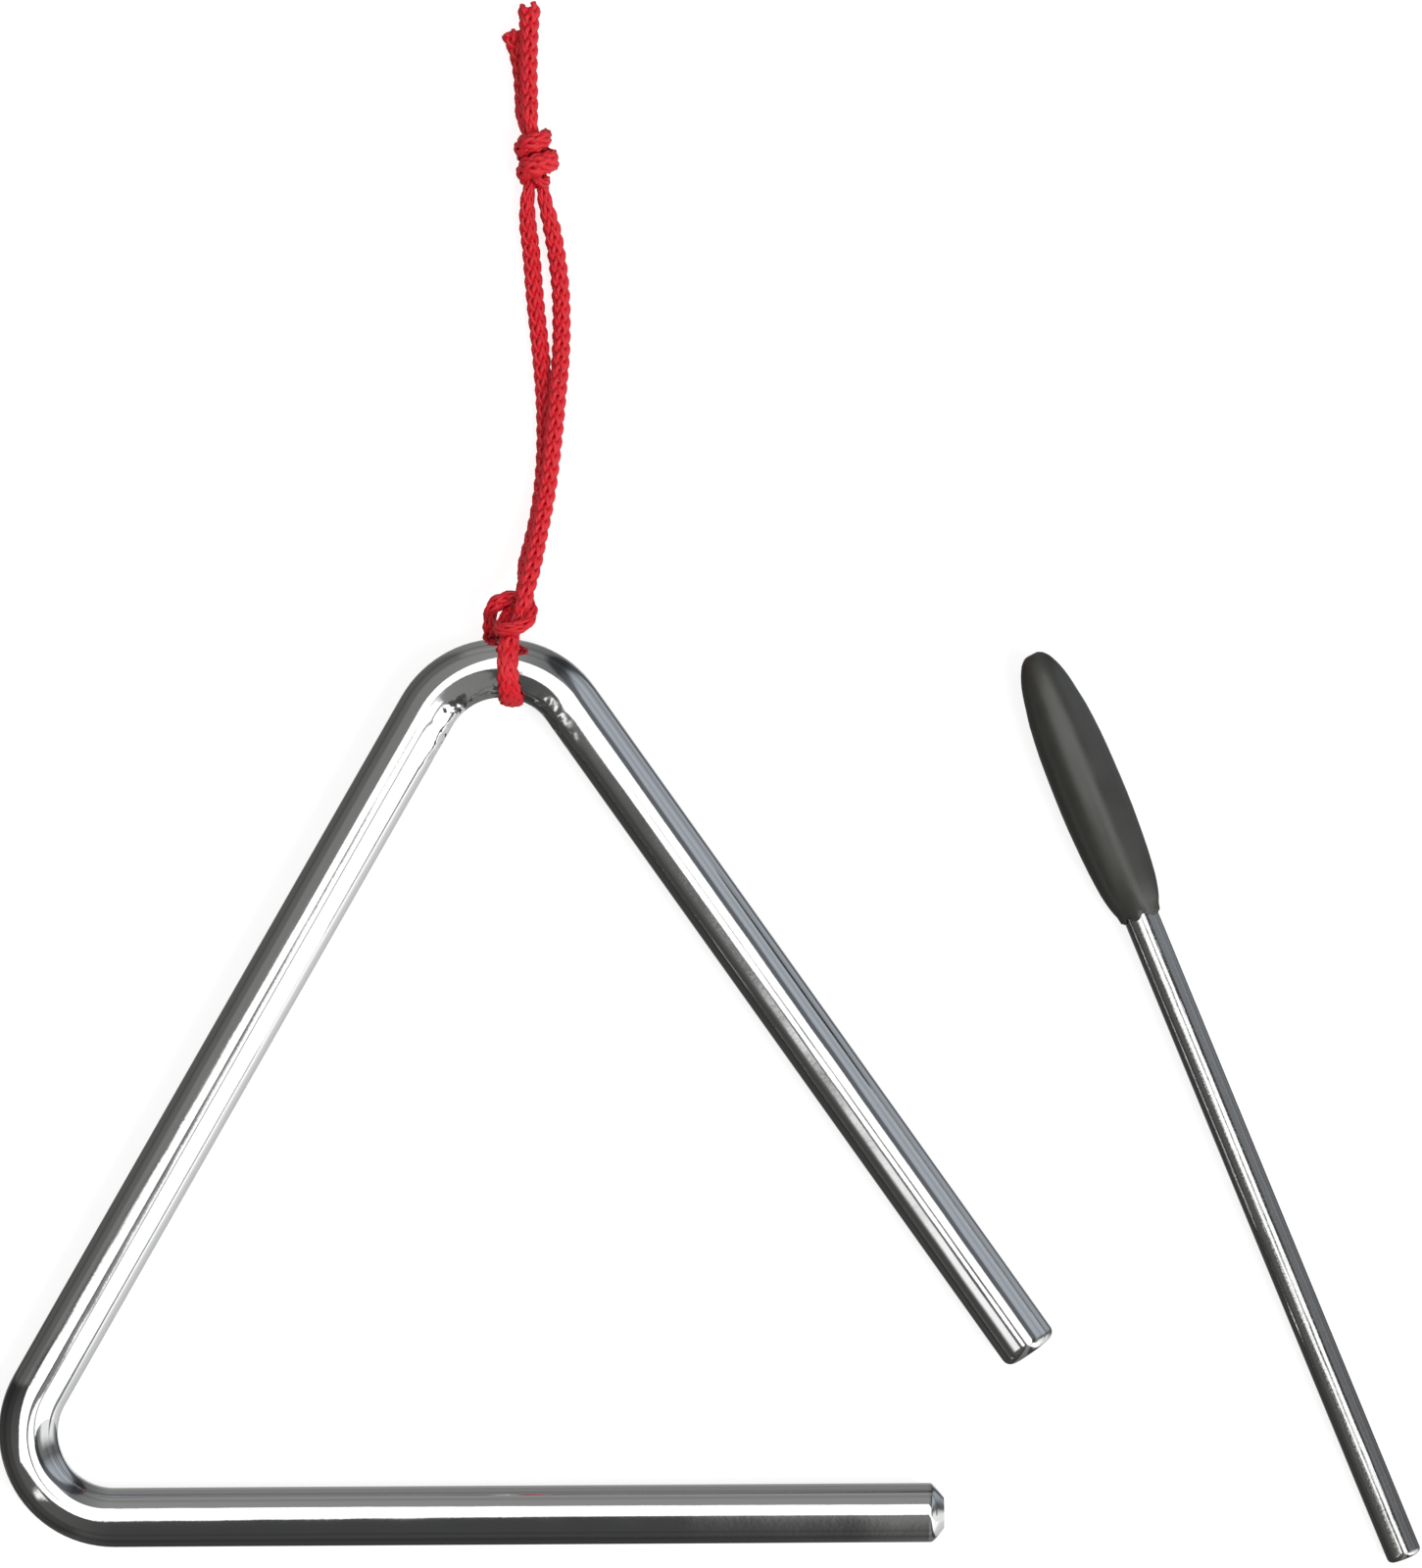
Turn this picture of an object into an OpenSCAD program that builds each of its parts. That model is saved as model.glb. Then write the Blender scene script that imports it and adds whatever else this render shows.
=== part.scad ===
// Triangle with its striker: a bent steel rod, a knitted cord tied round its top bend,
// and a steel striker with a moulded rubber grip, all lying flat as they do on a table.

/* [Triangle] */
// Thickness of the bent rod
rod_d = 10; // [8:0.5:11]
// Closed side, from the top corner to the lower left corner, on the rod's middle line
closed_side = 180; // [160:1:190]
// Base side, from the lower left corner to its free end
base_side = 165.5; // [120:0.5:170]
// Open side, from the top corner to its free end
open_side = 157; // [120:0.5:160]
// Angle between the base and the closed side
base_angle = 59.9; // [57:0.1:62]
// Angle between the closed and the open side
top_angle = 65.2; // [63:0.1:67]
// Radius of both bends, on the rod's middle line
bend_r = 14.5; // [12:0.5:18]
// Length of the ground taper at the base side's end
base_end_l = 2.2; // [1:0.1:3]
// Depth of the ground taper at the base side's end
base_end_w = 2.4; // [1:0.1:3]
// Length of the rounding at the open side's end
open_end_l = 1.6; // [0.5:0.1:3]
// Depth of the rounding at the open side's end
open_end_w = 1.5; // [0.5:0.1:3]
// How much thinner the rod is round its bends, where bending has drawn it out
bend_thinning = 0.02; // [0.01:0.01:0.1]

/* [Cord] */
// Thickness of the cord where it lies free
cord_d = 3.2; // [2.8:0.1:3.2]
// Thickness of the flattened cord under the rod
pinch_t = 1.4; // [1.2:0.1:1.8]
// Width of the flattened cord round the rod
pinch_w = 3.6; // [2.6:0.1:4]
// Gap between the cord and the rod
cord_gap = 0.25; // [0.2:0.05:0.4]
// Gap between the cord and the surface that it lies on
floor_gap = 0.05; // [0.02:0.01:0.1]
// Place of the cord on the top bend, as an angle from its crown
hitch_turn = 4.8; // [2:0.2:6]

/* [Striker] */
// Thickness of the striker's rod
beater_d = 6; // [5:0.5:6.5]
// Length of the striker, from the tip of its grip to the rod's end
beater_l = 165.6; // [150:0.1:175]
// Chamfer at the end of the striker's rod
beater_chamfer = 0.9; // [0.4:0.1:1.2]
// Direction of the striker on the table, from its grip to its end
beater_angle = -67.9; // [-72:0.1:-64]
// Length of the grip
grip_l = 47.6; // [44:0.1:52]
// Largest thickness of the grip
grip_d = 11.8; // [11:0.1:13]
// Depth of rubber between the rod's inner end and the tip of the grip
grip_nose = 9; // [6:0.5:12]
// Clearance of the rod in the grip's bore
grip_fit = 0.02; // [0:0.01:0.05]

/* [Placing] */
// Lower left corner of the triangle, from the middle of the whole object
triangle_x = -126; // [-128:0.5:-124]
// Base side of the triangle, from the middle of the whole object
triangle_y = -69.5; // [-72:0.5:-68]
// Tip of the grip, from the middle of the whole object
beater_x = 55.4; // [52:0.1:60]
// Tip of the grip, towards the top
beater_y = 75.6; // [70:0.1:78]

/* [Hidden] */
// Smoothness of round pieces
$fn = 96;
// Overrun of every cut past the face that it opens
over = 1;
// How far the straight runs reach into the bends
run_seat = 0.2;
rod_r = rod_d / 2;
beater_r = beater_d / 2;
grip_r = grip_d / 2;

// The triangle in its own plane: corner at zero, base along X
top_corner = closed_side * [cos(base_angle), sin(base_angle)];
open_dir = base_angle + top_angle - 180;
base_tangent = bend_r / tan(base_angle / 2);
top_tangent = bend_r / tan(top_angle / 2);
top_middle = top_corner + bend_r / sin(top_angle / 2)
    * [cos(base_angle + 180 + top_angle / 2), sin(base_angle + 180 + top_angle / 2)];
hitch_flat = top_middle + bend_r * [sin(hitch_turn), cos(hitch_turn)];
// The cord passes under the top bend, so the base lies on the table and the top stands a little off it
wrap_r = rod_r + cord_gap + pinch_t / 2;
hitch_z = wrap_r + pinch_t / 2 + floor_gap;
lean = asin((hitch_z - rod_r) / hitch_flat[1]);
hitch_x = triangle_x + hitch_flat[0];
hitch_y = triangle_y + hitch_flat[1] * cos(lean);

// The grip's outline: share of its length from the tip, share of its largest radius
grip_shares = [
    [0, 0], [0, 0.2], [0.012, 0.34], [0.04, 0.5], [0.075, 0.62], [0.12, 0.72], [0.175, 0.8],
    [0.233, 0.88], [0.347, 0.96], [0.46, 0.988], [0.571, 1], [0.687, 0.975], [0.798, 0.923],
    [0.885, 0.85], [0.945, 0.75], [0.98, 0.65], [1, 0.585], [1, 0]
];
belly_share = 0.571;
// Lying down, the striker touches with the widest part of its grip and with its rod's end
beater_run = beater_l - beater_chamfer - belly_share * grip_l;
beater_lean = asin((grip_r - beater_r) / beater_run);
beater_z = grip_r / cos(beater_lean) + belly_share * grip_l * sin(beater_lean);

// The cord: every row is a place, the width, the thickness and the flat way across (0 X, 1 Y)
cord_sides = 8;
// Cord drawn tight in the hitch and in the knot
tight_d = 2;
// Height of the free cord's middle where it lies on the table
lie_z = cord_d / 2 + floor_gap;
// Cord round the rod: angle from the near face towards the outer side, and shift along the rod
wrap_steps = [
    [35, 0.1], [10, 0], [-15, 0], [-40, 0.1], [-65, 0.2], [-90, 0.2], [-115, 0], [-140, -0.5],
    [-165, -1.1], [-190, -1.8], [-215, -2.4], [-238, -2.8]
];
wrap_rows = [for (s = wrap_steps) [
    hitch_x + s[1], hitch_y + wrap_r * sin(s[0]), hitch_z + wrap_r * cos(s[0]), pinch_w, pinch_t, 0
]];
// Half hitch above the rod, from the far side round the front: along the rod, out from its edge,
// up from its middle line, share of the tight thickness
hitch_turns = [
    [-3.1, 1.8, -1.2, 1.05], [-3.1, 3.5, 0.3, 1], [-2.8, 5.3, 1.5, 1],
    [-1.6, 6.9, 2, 1], [0.1, 7.6, 1.7, 1], [1.9, 7.5, 1.4, 1], [3.4, 6.4, 1.8, 1],
    [4.1, 4.9, 3.1, 1], [3.9, 3.3, 4.9, 1], [2.7, 2, 6.4, 1], [0.9, 1.5, 6.9, 1.02],
    [-0.8, 1.3, 6.3, 1], [-1.5, 1.9, 4.6, 0.9], [-1, 2.9, 2.8, 0.9],
    [-0.3, 4.2, 0.9, 0.9], [0.3, 5.8, -0.6, 1], [0.9, 7.6, -1.3, 1.1],
    [1.8, 9.6, -1.8, 1.3]
];
turn_rows = [for (s = hitch_turns) [
    hitch_x + s[0], hitch_y + rod_r + s[1], hitch_z + s[2], s[3] * tight_d, s[3] * tight_d, 0
]];
// Front strand, from the knot down to the rod: across, out from the hitch, height over the
// table-lying cord, share of the full thickness
front_strand = [
    [6.7, 79, 1.8, 0.72], [7.7, 75, 1, 0.95], [8.5, 70.5, 0.3, 1], [9.2, 64, 0, 1],
    [9.3, 57, 0.2, 1], [9.1, 52, 1, 1], [8.6, 46.5, 2.5, 1],
    [7.9, 39, 3.2, 1], [6.9, 31, 3.5, 1], [6.2, 27, 3.7, 1], [5, 21.5, 5.3, 1],
    [4, 17, 7.1, 0.95], [2.9, 13.5, 8.9, 0.85], [2.1, 10.6, 9.7, 0.72], [1.5, 8.6, 9.4, 0.65],
    [0.9, 6.6, 9, 0.62], [0.3, 5, 9.3, 0.64]
];
front_rows = [for (s = front_strand) [
    hitch_x + s[0], hitch_y + s[1], lie_z + s[2], s[3] * cord_d, s[3] * cord_d, 0
]];
// Rear strand, from the rod up to the knot
rear_strand = [
    [3.1, 17, 2.5, 0.9], [4.2, 21.5, 1.2, 1], [5.4, 27, 0.3, 1], [6.3, 35, 0, 1],
    [6.4, 44, 0, 1], [5.8, 53, 0, 1], [4.9, 62, 0, 1],
    [4.2, 71, 0.1, 1], [3.7, 75.5, 0.9, 0.95], [3.7, 79.5, 1.7, 0.7]
];
rear_rows = [for (s = rear_strand) [
    hitch_x + s[0], hitch_y + s[1], lie_z + s[2], s[3] * cord_d, s[3] * cord_d, 0
]];
// Knot: the front strand wound twice round both strands and tucked up through its own turns
knot_across = 5.2;
knot_out = 86.5;
knot_x = hitch_x + knot_across;
knot_y = hitch_y + knot_out;
core_d = 1.8;
strand_gap = 0.12;
turn_gap = 0.3;
turn_t = 1.5;
turn_w = 3.4;
core_r = core_d / 2 / cos(30) + strand_gap;
knot_r = core_r + core_d / 2 + turn_gap + turn_t / 2;
knot_z = knot_r + turn_t / 2 + floor_gap;
turn_pitch = 4;
turn_top = 3.5;
turn_step = 40;
knot_turns = 720;
winding_rows = [for (a = [knot_turns : -turn_step : 0]) [
    knot_x + knot_r * cos(a), knot_y + turn_top - turn_pitch * a / 360,
    knot_z + knot_r * sin(a), turn_w, turn_t, 1
]];
tuck = [
    [0, 7, 1.7, 2.4], [0, 4, 1.1, 1.8], [0, 0, 1.1, 1.8], [0, -3.4, 1.2, 1.8],
    [0.5, -5.2, 2.1, 1.8], [2, -5.8, 2, 1.8]
];
tuck_rows = [for (s = tuck) [knot_x + s[0], knot_y + s[1], knot_z + s[2], s[3], s[3], 1]];
rise = [[2.6, 5, -0.5, 1.8], [1.6, 5, -0.8, 1.8], [1, 3.4, -0.6, 1.8], [1, 0, -0.6, 1.8],
    [1, -4, -0.6, 1.8]];
rise_rows = [for (s = rise) [knot_x + s[0], knot_y + s[1], knot_z + s[2], s[3], s[3], 1]];
through = [[-1, -4, -0.6, 1.8], [-1, 0, -0.6, 1.8], [-1, 4, -0.6, 1.8], [-1.4, 7, -1.2, 2.4]];
through_rows = [for (s = through) [knot_x + s[0], knot_y + s[1], knot_z + s[2], s[3], s[3], 1]];
// Cut ends beyond the knot: across and out from the knot, height over the table-lying cord
main_end = [[-0.6, 25.6, 1.6, 1.05], [-1, 20, 2.8, 1], [-1.2, 14.5, 3.4, 1], [-0.8, 10, 3.5, 0.9]];
short_end = [[-2, 10.5, 0, 0.95], [-2.4, 15, 0, 1], [-3.2, 19, 0, 1], [-4.1, 21.4, 0.1, 1.05]];
main_rows = [for (s = main_end) [
    knot_x + s[0], knot_y + s[1], lie_z + s[2], s[3] * cord_d, s[3] * cord_d, 1
]];
short_rows = [for (s = short_end) [
    knot_x + s[0], knot_y + s[1], lie_z + s[2], s[3] * cord_d, s[3] * cord_d, 1
]];
cord_route = concat(main_rows, tuck_rows, winding_rows, rise_rows, front_rows, wrap_rows,
    turn_rows, rear_rows, through_rows, short_rows);

function unit(v) = v / norm(v);
function place(i) = [cord_route[i][0], cord_route[i][1], cord_route[i][2]];
last = len(cord_route) - 1;
function heading(i) = unit(place(min(i + 1, last)) - place(max(i - 1, 0)));
function square_to(v, t) = unit(v - (v * t) * t);
// Sideways direction of every ring, carried along so that the skin never twists
ring_side = [for (i = 0, s = square_to([1, 0, 0], heading(0)); i <= last;
    i = i + 1, s = i > last ? s : square_to(s, heading(i))) s];

function ring_point(i, k) =
    let (t = heading(i), u = ring_side[i], v = cross(t, u), row = cord_route[i],
        flat = square_to(row[5] == 0 ? [1, 0, 0] : [0, 1, 0], t + 0.001 * [1, 1, 1]),
        w = square_to(flat, t), n = cross(t, w),
        a = 360 * k / cord_sides,
        d = cos(a) * u + sin(a) * v,
        b = atan2(d * n, d * w))
    place(i) + row[3] / 2 * cos(b) * w + row[4] / 2 * sin(b) * n;

// Round rod along X, with a tapered end if the taper has a length
module rod_run(r, l, taper_l, taper_w) {
    rotate([0, 90, 0])
        rotate_extrude()
            polygon([[0, 0], [r, 0], [r, l - taper_l], [r - taper_w, l], [0, l]]);
}

// Quarter-round bend that starts at zero along +X and turns left
module rod_bend(r, bend, turn) {
    translate([0, bend, 0])
        rotate([0, 0, -90])
            rotate_extrude(angle = turn)
                translate([bend, 0])
                    circle(r);
}

module triangle_rod() {
    color("silver")
        translate([triangle_x, triangle_y, rod_r])
            rotate([lean, 0, 0]) {
                translate([base_tangent - run_seat, 0, 0])
                    rod_run(rod_r, base_side - base_tangent + run_seat, base_end_l, base_end_w);
                translate(base_tangent * [cos(base_angle), sin(base_angle)])
                    rotate([0, 0, base_angle - 180])
                        rod_bend(rod_r - bend_thinning, bend_r, 180 - base_angle);
                translate((base_tangent - run_seat) * [cos(base_angle), sin(base_angle)])
                    rotate([0, 0, base_angle])
                        rod_run(rod_r, closed_side - base_tangent - top_tangent + 2 * run_seat, 0, 0);
                translate(top_corner + top_tangent * [cos(open_dir), sin(open_dir)])
                    rotate([0, 0, open_dir + 180])
                        rod_bend(rod_r - bend_thinning, bend_r, 180 - top_angle);
                translate(top_corner + (top_tangent - run_seat) * [cos(open_dir), sin(open_dir)])
                    rotate([0, 0, open_dir])
                        rod_run(rod_r, open_side - top_tangent + run_seat, open_end_l, open_end_w);
            }
}

// One closed tube swept along the whole route, square at both cut ends
module cord() {
    rings = [for (i = [0 : last]) for (k = [0 : cord_sides - 1]) ring_point(i, k)];
    skin = [for (i = [0 : last - 1]) for (k = [0 : cord_sides - 1])
        let (a = i * cord_sides + k, b = i * cord_sides + (k + 1) % cord_sides)
        each [[a, a + cord_sides, b], [b, a + cord_sides, b + cord_sides]]];
    first_cap = [[for (k = [0 : cord_sides - 1]) k]];
    last_cap = [[for (k = [cord_sides - 1 : -1 : 0]) last * cord_sides + k]];
    color("crimson")
        polyhedron(points = rings, faces = concat(skin, first_cap, last_cap));
}

// The striker's own line: tip at zero, rod's end along +X, laid down on the table
module lay_beater() {
    translate([beater_x, beater_y, beater_z])
        rotate([0, beater_lean, beater_angle])
            children();
}

module beater_rod() {
    color("silver")
        lay_beater()
            translate([grip_nose, 0, 0])
                rod_run(beater_r, beater_l - grip_nose, beater_chamfer, beater_chamfer);
}

module beater_grip() {
    outline = [for (s = grip_shares) [s[1] * grip_r, s[0] * grip_l]];
    color("dimgray")
        lay_beater()
            rotate([0, 90, 0])
                difference() {
                    rotate_extrude()
                        polygon(outline);
                    translate([0, 0, grip_nose])
                        cylinder(r = beater_r + grip_fit, h = grip_l - grip_nose + over);
                }
}

triangle_rod();
cord();
beater_rod();
beater_grip();
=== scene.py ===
"""Triangle with its striker: a bent chromed rod, a knitted cord tied round its top bend,
and a plated striker with a moulded rubber grip, lying flat and seen from above."""

import itertools
import math

import bmesh
import bpy
import numpy as np
from bpy.props import FloatProperty, FloatVectorProperty, IntProperty, PointerProperty
from mathutils import Matrix, Vector


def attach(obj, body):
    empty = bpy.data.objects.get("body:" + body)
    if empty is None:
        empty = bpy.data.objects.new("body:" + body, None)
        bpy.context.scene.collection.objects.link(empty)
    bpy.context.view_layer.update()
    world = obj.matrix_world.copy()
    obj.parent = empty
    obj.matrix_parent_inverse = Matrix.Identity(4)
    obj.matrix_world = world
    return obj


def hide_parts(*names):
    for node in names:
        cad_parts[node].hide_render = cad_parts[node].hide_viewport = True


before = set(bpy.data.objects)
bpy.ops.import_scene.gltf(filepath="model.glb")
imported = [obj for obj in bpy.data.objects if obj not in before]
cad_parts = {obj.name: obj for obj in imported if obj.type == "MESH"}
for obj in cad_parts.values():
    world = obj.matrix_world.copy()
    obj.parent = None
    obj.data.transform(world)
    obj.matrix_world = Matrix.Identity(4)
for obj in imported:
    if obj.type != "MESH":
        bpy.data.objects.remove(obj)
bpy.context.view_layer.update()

bl_info = {
    "name": "Triangle and striker",
    "version": (1, 0, 0),
    "blender": (4, 5, 0),
    "location": "View3D > Sidebar > Triangle",
    "description": "Builds a bent rod triangle with its knitted cord and its striker",
    "category": "Object",
}

MM = 0.001
SHADING_CREASE = math.radians(28)
# A ring this far from each change of shape keeps a straight length's shading straight
GUARD = 0.4 * MM
# Sides of the rods and of the grip, and steps of the rod's bends
ROUND_SIDES = 96
BEND_STEPS = 28


def linear(code):
    """The linear colour of an sRGB hex value such as #c81e2d."""
    parts = [int(code[i:i + 2], 16) / 255 for i in (1, 3, 5)]
    return [c / 12.92 if c <= 0.04045 else ((c + 0.055) / 1.055) ** 2.4 for c in parts]


# Sizes and colours that a user would change

class RodSizes(bpy.types.PropertyGroup):
    """Sizes of the bent rod, on its middle line."""
    thickness: FloatProperty(
        name="Rod thickness", description="Thickness of the bent rod",
        default=10 * MM, unit="LENGTH", precision=4)
    closed_side: FloatProperty(
        name="Closed side", description="From the top corner to the lower left corner",
        default=180 * MM, unit="LENGTH", precision=4)
    base_side: FloatProperty(
        name="Base side", description="From the lower left corner to its free end",
        default=165.5 * MM, unit="LENGTH", precision=4)
    open_side: FloatProperty(
        name="Open side", description="From the top corner to its free end",
        default=157 * MM, unit="LENGTH", precision=4)
    bend_radius: FloatProperty(
        name="Bend radius", description="Radius of both bends",
        default=14.5 * MM, unit="LENGTH", precision=4)
    base_angle: FloatProperty(
        name="Base angle", description="Angle between the base and the closed side",
        default=math.radians(59.9), subtype="ANGLE")
    top_angle: FloatProperty(
        name="Top angle", description="Angle between the closed and the open side",
        default=math.radians(65.2), subtype="ANGLE")
    corner: FloatVectorProperty(
        name="Lower left corner", description="Place of the lower left corner on the table",
        size=2, default=(-126 * MM, -69.5 * MM), subtype="XYZ", unit="LENGTH", precision=4)
    plating: FloatVectorProperty(
        name="Chrome", description="Colour of the chrome plating",
        size=3, default=linear("#e4e5e6"), subtype="COLOR", min=0, max=1)


class CordSizes(bpy.types.PropertyGroup):
    """Sizes of the knitted cord."""
    thickness: FloatProperty(
        name="Cord thickness", description="Thickness of the cord where it lies free",
        default=3.2 * MM, unit="LENGTH", precision=4)
    wales: IntProperty(
        name="Wales", description="Columns of stitches round the knitted tube",
        default=5, min=4, max=8)
    stitch: FloatProperty(
        name="Stitch length", description="Length of one stitch in the loose cord",
        default=2.3 * MM, unit="LENGTH", precision=4)
    yarn: FloatProperty(
        name="Yarn thickness", description="Thickness of the yarn in the stitches",
        default=0.74 * MM, unit="LENGTH", precision=5)
    dye: FloatVectorProperty(
        name="Dye", description="Colour of the yarn",
        size=3, default=linear("#c51522"), subtype="COLOR", min=0, max=1)


class StrikerSizes(bpy.types.PropertyGroup):
    """Sizes of the striker and its grip."""
    length: FloatProperty(
        name="Striker length", description="From the tip of the grip to the rod's end",
        default=165.6 * MM, unit="LENGTH", precision=4)
    rod_thickness: FloatProperty(
        name="Striker thickness", description="Thickness of the striker's rod",
        default=6 * MM, unit="LENGTH", precision=4)
    grip_length: FloatProperty(
        name="Grip length", description="Length of the rubber grip",
        default=47.6 * MM, unit="LENGTH", precision=4)
    grip_thickness: FloatProperty(
        name="Grip thickness", description="Largest thickness of the grip",
        default=11.8 * MM, unit="LENGTH", precision=4)
    tip: FloatVectorProperty(
        name="Tip", description="Place of the grip's tip on the table",
        size=2, default=(55.4 * MM, 75.6 * MM), subtype="XYZ", unit="LENGTH", precision=4)
    direction: FloatProperty(
        name="Direction", description="Direction from the grip to the rod's end",
        default=math.radians(-67.9), subtype="ANGLE")
    plating: FloatVectorProperty(
        name="Zinc plating", description="Colour of the striker's plating",
        size=3, default=linear("#dcdddd"), subtype="COLOR", min=0, max=1)
    rubber: FloatVectorProperty(
        name="Rubber", description="Colour of the moulded grip",
        size=3, default=linear("#2c2c29"), subtype="COLOR", min=0, max=1)


class StudioSizes(bpy.types.PropertyGroup):
    """Camera, light and floor."""
    camera_height: FloatProperty(
        name="Camera height", description="Height of the camera over the rods' middle",
        default=1.5, unit="LENGTH")
    picture_height: FloatProperty(
        name="Picture height", description="Length of table that the picture's height shows",
        default=265.34 * MM, unit="LENGTH", precision=4)
    camera_turn: FloatProperty(
        name="Camera turn", description="Turn of the camera about its own line of sight",
        default=math.radians(-0.355), subtype="ANGLE")
    aim: FloatVectorProperty(
        name="Aim", description="Place on the table under the middle of the picture",
        size=3, default=(0.85 * MM, 54.0 * MM, 5 * MM), subtype="XYZ", unit="LENGTH")
    floor: FloatVectorProperty(
        name="Floor", description="Colour of the floor",
        size=3, default=linear("#f4f4f4"), subtype="COLOR", min=0, max=1)


# Materials

def fill_inputs(tree, node, inputs):
    """Gives each named socket its value, or a link where that is another node's socket."""
    for name, value in inputs.items():
        if isinstance(value, bpy.types.NodeSocket):
            tree.links.new(value, node.inputs[name])
        else:
            node.inputs[name].default_value = value


def add_node(tree, kind, place=(0, 0), inputs=None, **settings):
    """A node with its place, its settings and what goes into its sockets."""
    node = tree.nodes.new(kind)
    node.location = place
    for name, value in settings.items():
        setattr(node, name, value)
    fill_inputs(tree, node, inputs or {})
    return node


def new_material(name):
    """An empty material, its tree, and its Principled shader joined to the output."""
    material = bpy.data.materials.new(name)
    material.use_nodes = True
    tree = material.node_tree
    tree.nodes.clear()
    shader = add_node(tree, "ShaderNodeBsdfPrincipled", (600, 0))
    add_node(tree, "ShaderNodeOutputMaterial", (900, 0), {"Surface": shader.outputs[0]})
    return material, tree, shader


def colour(rgb):
    """The colour as a socket takes it, with full alpha."""
    return (*rgb[:3], 1.0)


def chromed_steel(rgb, bend_middle, inner):
    """Bright chromium plating on a drawn and bent steel rod: a mirror, with the slow waves of
    the bar under it, faint polishing marks, a little haze where it was handled, and the small
    folds that the bender pressed into the inner side of the top bend."""
    material, tree, shader = new_material("chromed_steel")
    spot = add_node(tree, "ShaderNodeTexCoord", (-900, 0)).outputs["Object"]
    away = add_node(tree, "ShaderNodeVectorMath", (-700, 500),
                    {0: spot, 1: tuple(bend_middle)}, operation="DISTANCE").outputs["Value"]
    folded = add_node(tree, "ShaderNodeMapRange", (-500, 500),
                      {"Value": away, "From Min": inner + 1 * MM, "From Max": inner + 5 * MM,
                       "To Min": 1.0, "To Max": 0.0}, interpolation_type="SMOOTHSTEP").outputs[0]
    # Folds about 3 mm apart
    crease = add_node(tree, "ShaderNodeTexNoise", (-500, 350),
                      {"Vector": spot, "Scale": 330.0, "Detail": 1.5, "Roughness": 0.5})
    crease = add_node(tree, "ShaderNodeMath", (-100, 400), {0: crease.outputs[0], 1: folded},
                      operation="MULTIPLY").outputs[0]
    # Waves about 14 mm long in the bar, polishing marks under 1 mm, and haze in 22 mm patches
    wave = add_node(tree, "ShaderNodeTexNoise", (-600, 200),
                    {"Vector": spot, "Scale": 70.0, "Detail": 1.0, "Roughness": 0.4})
    marks = add_node(tree, "ShaderNodeTexNoise", (-600, -100),
                     {"Vector": spot, "Scale": 1100.0, "Detail": 3.0, "Roughness": 0.6})
    haze = add_node(tree, "ShaderNodeTexNoise", (-600, -400),
                    {"Vector": spot, "Scale": 45.0, "Detail": 4.0, "Roughness": 0.65})
    rough = add_node(tree, "ShaderNodeMapRange", (-300, -400),
                     {"Value": haze.outputs[0], "From Min": 0.35, "From Max": 0.75,
                      "To Min": 0.04, "To Max": 0.10})
    coarse = add_node(tree, "ShaderNodeBump", (0, -200),
                      {"Height": wave.outputs[0], "Strength": 0.5, "Distance": 0.0002})
    pressed = add_node(tree, "ShaderNodeBump", (150, -200),
                       {"Height": crease, "Strength": 1.0, "Distance": 0.0007,
                        "Normal": coarse.outputs[0]})
    fine = add_node(tree, "ShaderNodeBump", (300, -200),
                    {"Height": marks.outputs[0], "Strength": 0.25, "Distance": 0.000016,
                     "Normal": pressed.outputs[0]})
    fill_inputs(tree, shader, {"Base Color": colour(rgb), "Metallic": 1.0,
                               "Roughness": rough.outputs[0], "Normal": fine.outputs[0]})
    return material


def zinc_plated_rod(rgb, turn):
    """Cold drawn steel rod, thinly plated and only lightly polished: fine drawing lines along
    it spread the light, and small specks show in the plating."""
    material, tree, shader = new_material("zinc_plated_rod")
    spot = add_node(tree, "ShaderNodeTexCoord", (-1200, 0)).outputs["Object"]
    along = add_node(tree, "ShaderNodeMapping", (-1000, 0),
                     {"Vector": spot, "Rotation": (0, 0, -turn)})
    # Drawing lines, a guessed 0.3 mm apart and 30 mm long
    stretched = add_node(tree, "ShaderNodeMapping", (-800, 0),
                         {"Vector": along.outputs[0], "Scale": (0.01, 1, 1)})
    lines = add_node(tree, "ShaderNodeTexNoise", (-600, 200),
                     {"Vector": stretched.outputs[0], "Scale": 3400.0, "Detail": 2.0})
    # Specks of 0.4 mm in the plating
    specks = add_node(tree, "ShaderNodeTexNoise", (-600, -100),
                      {"Vector": spot, "Scale": 2600.0, "Detail": 2.0})
    rough = add_node(tree, "ShaderNodeMapRange", (-300, -100),
                     {"Value": specks.outputs[0], "From Min": 0.45, "From Max": 0.75,
                      "To Min": 0.07, "To Max": 0.20})
    groove = add_node(tree, "ShaderNodeBump", (0, -200),
                      {"Height": lines.outputs[0], "Strength": 0.6, "Distance": 0.00003})
    grain = add_node(tree, "ShaderNodeBump", (300, -200),
                     {"Height": specks.outputs[0], "Strength": 0.3, "Distance": 0.00002,
                      "Normal": groove.outputs[0]})
    fill_inputs(tree, shader, {"Base Color": colour(rgb), "Metallic": 1.0,
                               "Roughness": rough.outputs[0], "Normal": grain.outputs[0]})
    return material


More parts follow.
